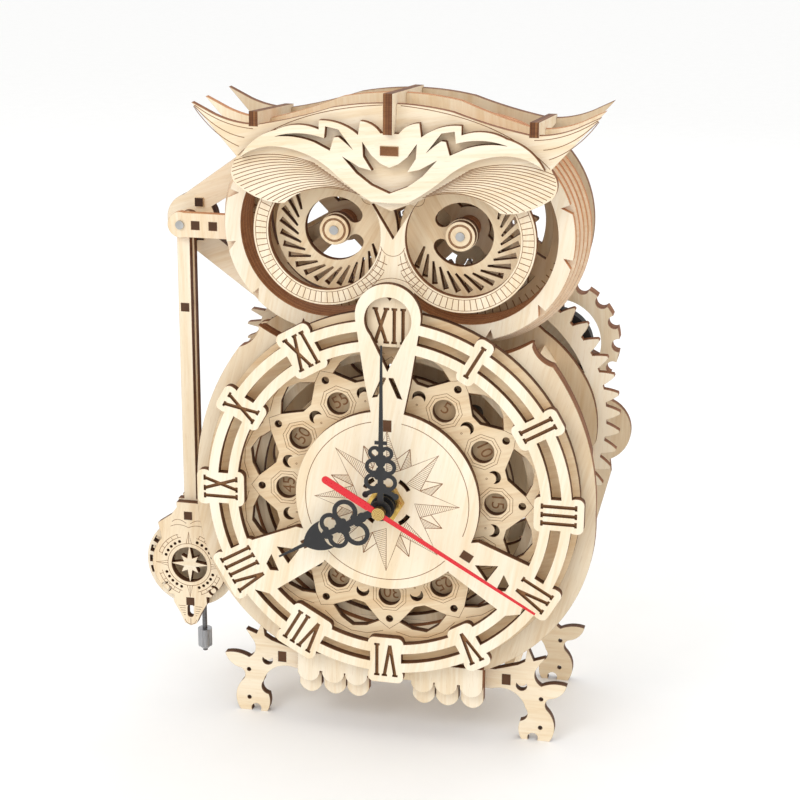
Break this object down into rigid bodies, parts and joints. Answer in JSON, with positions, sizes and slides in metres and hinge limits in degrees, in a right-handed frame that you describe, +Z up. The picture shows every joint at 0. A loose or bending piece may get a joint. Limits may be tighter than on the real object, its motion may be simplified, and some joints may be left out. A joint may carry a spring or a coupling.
{
  "type": "wooden owl clock puzzle model",
  "caption": "Owl-shaped mechanical clock model built from slotted plywood plates, with dial and hands, geared turning eyes, winding wheel and a side pendulum.",
  "frame": {"origin": "on the desk plane under the feet, on the owl's middle plane, at the depth of the dial plate's front face", "axes": "+Z up, +Y from the dial towards the back, +X to the right as seen from the front"},
  "size_m": [0.1715, 0.079, 0.2285],
  "materials": {
    "birch_plywood": "bare birch plywood, light faces with brown laser-burnt edges",
    "black_hands": "satin black",
    "red_hand": "gloss red",
    "steel": "turned steel",
    "grey_metal": "knurled grey metal",
    "brass": "bright brass",
    "black_plastic": "black moulded plastic"
  },
  "bodies": {
    "clock_body": {"bearing_plate": "birch_plywood", "body_backing": "birch_plywood", "body_front": "birch_plywood", "body_rear": "birch_plywood", "body_ribs": "birch_plywood", "bracket_slats": "birch_plywood", "brow_crest": "birch_plywood", "crown_slats": "birch_plywood", "dial_front": "birch_plywood", "dial_lattice": "birch_plywood", "dial_twelve": "birch_plywood", "face_plate": "birch_plywood", "feathers_pointed": "birch_plywood", "feathers_rounded": "birch_plywood", "feet_front": "birch_plywood", "feet_rear": "birch_plywood", "foot_rails": "birch_plywood", "front_pegs": "birch_plywood", "goggle_back_pair": "birch_plywood", "goggle_ear_plate": "birch_plywood", "goggle_front": "birch_plywood", "goggle_second": "birch_plywood", "head_rear": "birch_plywood", "lens_plate": "birch_plywood", "movement_case": "black_plastic", "movement_nut": "brass", "number_disc": "birch_plywood", "pendulum_bracket": "birch_plywood", "pendulum_pin": "steel", "spacer_pins": "birch_plywood"},
    "minute_hand": {"minute_hand": "black_hands", "minute_tube": "steel"},
    "hour_hand": {"hour_hand": "black_hands", "hour_tube": "steel"},
    "second_hand": {"second_hand": "red_hand"},
    "time_knob": {"time_knob": "black_plastic"},
    "drive_wheel": {"drive_gear": "birch_plywood", "drive_hub_gear": "birch_plywood", "drive_axle": "birch_plywood"},
    "right_eye": {"right_eye_iris": "birch_plywood", "right_eye_axle": "birch_plywood", "right_eye_gear": "birch_plywood", "eye_pinion": "birch_plywood"},
    "left_eye": {"left_eye_iris": "birch_plywood", "left_eye_axle": "birch_plywood", "left_eye_gear": "birch_plywood"},
    "escape_wheel": {"escape_wheel": "birch_plywood", "escape_pinion": "birch_plywood", "escape_axle": "birch_plywood"},
    "winding_wheel": {"winding_wheel": "birch_plywood", "winding_pinion": "birch_plywood", "winding_axle": "birch_plywood", "spring_barrel": "black_plastic"},
    "pendulum": {"pendulum_front": "birch_plywood", "pendulum_back": "birch_plywood", "pendulum_pegs": "birch_plywood", "bob_medallion": "birch_plywood", "bob_emblem": "birch_plywood", "weight_pin": "steel"},
    "rating_weight": {"weight_knob": "grey_metal"}
  },
  "joints": [
    {"name": "minute_spin", "type": "hinge", "parent": "clock_body", "child": "minute_hand", "pos_m": [0, 0, 0.09], "axis": [0, 1, 0], "continuous": true},
    {"name": "hour_spin", "type": "hinge", "parent": "clock_body", "child": "hour_hand", "pos_m": [0, 0, 0.09], "axis": [0, 1, 0], "continuous": true},
    {"name": "second_spin", "type": "hinge", "parent": "clock_body", "child": "second_hand", "pos_m": [0, 0, 0.09], "axis": [0, 1, 0], "continuous": true},
    {"name": "knob_spin", "type": "hinge", "parent": "clock_body", "child": "time_knob", "pos_m": [-0.014, 0.03, 0.09], "axis": [0, 1, 0], "continuous": true},
    {"name": "drive_spin", "type": "hinge", "parent": "clock_body", "child": "drive_wheel", "pos_m": [0.02, 0.045, 0.11207], "axis": [0, 1, 0], "continuous": true},
    {"name": "right_eye_spin", "type": "hinge", "parent": "clock_body", "child": "right_eye", "pos_m": [0.0215, 0.02, 0.1803], "axis": [0, 1, 0], "continuous": true},
    {"name": "left_eye_spin", "type": "hinge", "parent": "clock_body", "child": "left_eye", "pos_m": [-0.0215, 0.02, 0.1803], "axis": [0, 1, 0], "continuous": true},
    {"name": "escape_spin", "type": "hinge", "parent": "clock_body", "child": "escape_wheel", "pos_m": [-0.04082, 0.045, 0.13529], "axis": [0, 1, 0], "continuous": true},
    {"name": "winding_spin", "type": "hinge", "parent": "clock_body", "child": "winding_wheel", "pos_m": [0.05019, 0.05, 0.13652], "axis": [0, 1, 0], "continuous": true},
    {"name": "pendulum_swing", "type": "hinge", "parent": "clock_body", "child": "pendulum", "pos_m": [-0.0778, 0.026, 0.178], "axis": [0, 1, 0], "range_deg": [-6, 6]},
    {"name": "weight_turn", "type": "hinge", "parent": "pendulum", "child": "rating_weight", "pos_m": [-0.0748, 0.026, 0.04], "axis": [0, 0, 1], "continuous": true}
  ],
  "couplings": [
    {"joint": "hour_spin", "follows": "minute_spin", "ratio": 0.083333},
    {"joint": "knob_spin", "follows": "minute_spin", "ratio": -1},
    {"joint": "right_eye_spin", "follows": "drive_spin", "ratio": -3.3333},
    {"joint": "left_eye_spin", "follows": "drive_spin", "ratio": 3.3333},
    {"joint": "escape_spin", "follows": "drive_spin", "ratio": -4.1667},
    {"joint": "winding_spin", "follows": "drive_spin", "ratio": -2.0833}
  ]
}
